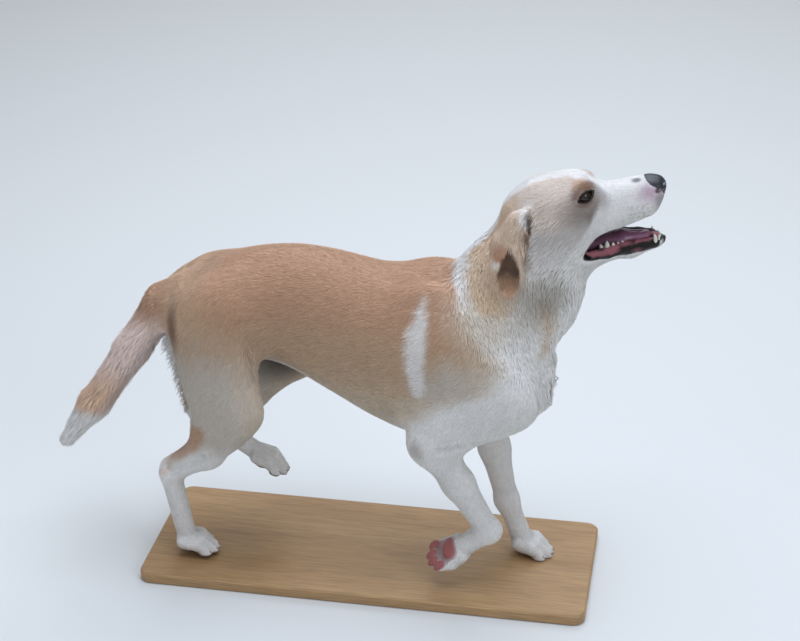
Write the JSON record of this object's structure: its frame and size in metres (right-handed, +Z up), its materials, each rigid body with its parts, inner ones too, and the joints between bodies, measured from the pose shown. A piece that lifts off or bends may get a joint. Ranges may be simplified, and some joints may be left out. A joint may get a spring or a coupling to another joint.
{
  "type": "dog model",
  "caption": "Life-size young Labrador cross dog trotting with its mouth open, a still display model on a flat wooden base.",
  "frame": {"origin": "on the underside of the base, below the middle of the dog's trunk", "axes": "+X the way the dog travels, +Y its left side, +Z up"},
  "size_m": [0.9375, 0.28, 0.7003],
  "materials": {
    "coat": "short fur",
    "nose": "damp leather",
    "tongue": "wet",
    "eye": "glossy",
    "base": "satin oak"
  },
  "bodies": {
    "root": {"trunk": "coat", "neck": "coat", "head": "coat", "jaw": "coat", "nose": "nose", "tongue": "tongue", "ear_right": "coat", "ear_left": "coat", "eye_right": "eye", "eye_left": "eye", "tail": "coat", "foreleg_right": "coat", "foreleg_left": "coat", "hindleg_right": "coat", "hindleg_left": "coat", "paw_fore_right": "coat", "paw_fore_left": "coat", "paw_hind_right": "coat", "paw_hind_left": "coat", "stand_base": "base"}
  },
  "joints": []
}
